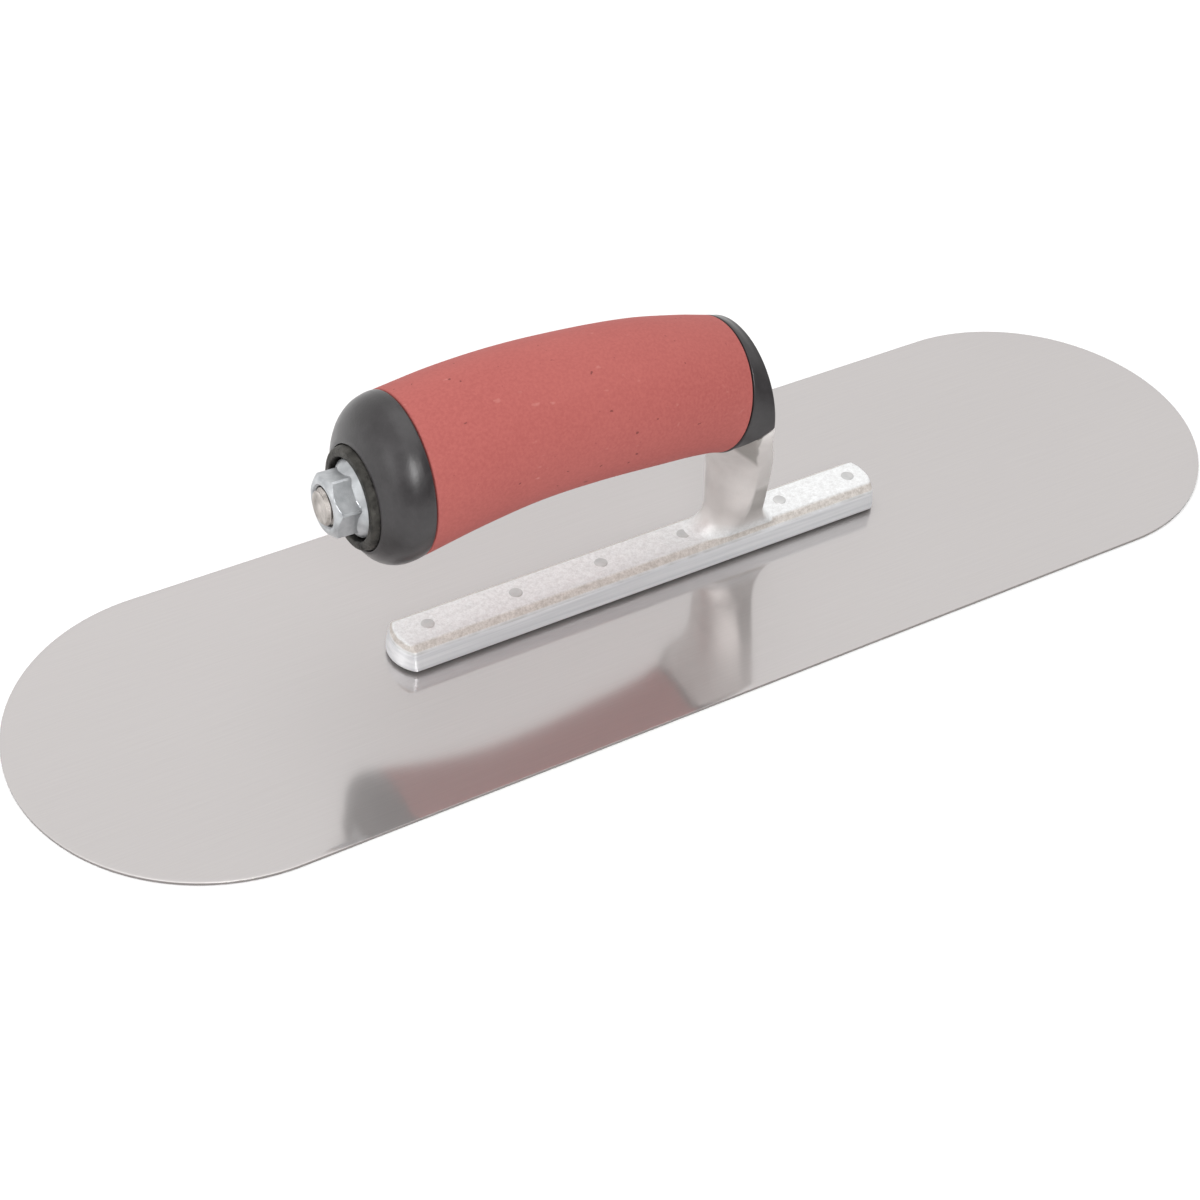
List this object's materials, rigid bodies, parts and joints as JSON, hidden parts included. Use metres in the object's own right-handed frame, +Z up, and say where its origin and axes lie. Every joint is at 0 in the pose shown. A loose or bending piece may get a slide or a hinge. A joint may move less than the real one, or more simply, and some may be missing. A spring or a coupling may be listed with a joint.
{
  "type": "steel finishing trowel",
  "caption": "Finishing trowel: a thin steel blade with round ends, riveted under a cast mounting whose post carries a curved grip held by a rod and flange nut.",
  "frame": {"origin": "centre of the blade's underside, which is also the bottom centre of the whole tool's box", "axes": "+X along the blade towards the toe, away from the handle's nut; +Z up from the blade to the handle; Y across the blade, whose symmetry plane is Y = 0"},
  "size_m": [0.3556, 0.1016, 0.0846],
  "materials": {
    "blade_steel": "satin, with fine grain along its length",
    "cast_aluminium": "satin cast",
    "rivet_steel": "ground flush",
    "rod_steel": "dull",
    "hard_black_plastic": "satin",
    "soft_red_rubber": "matte, finely speckled",
    "black_steel": "satin black",
    "zinc_plated_steel": "bright zinc"
  },
  "bodies": {
    "root": {"blade": "blade_steel", "mounting_casting": "cast_aluminium", "blade_rivet_1": "rivet_steel", "blade_rivet_2": "rivet_steel", "blade_rivet_3": "rivet_steel", "blade_rivet_4": "rivet_steel", "blade_rivet_5": "rivet_steel", "blade_rivet_6": "rivet_steel", "threaded_rod": "rod_steel", "handle_core": "hard_black_plastic", "grip_sleeve": "soft_red_rubber", "cup_washer": "black_steel", "flange_nut": "zinc_plated_steel"}
  },
  "joints": []
}
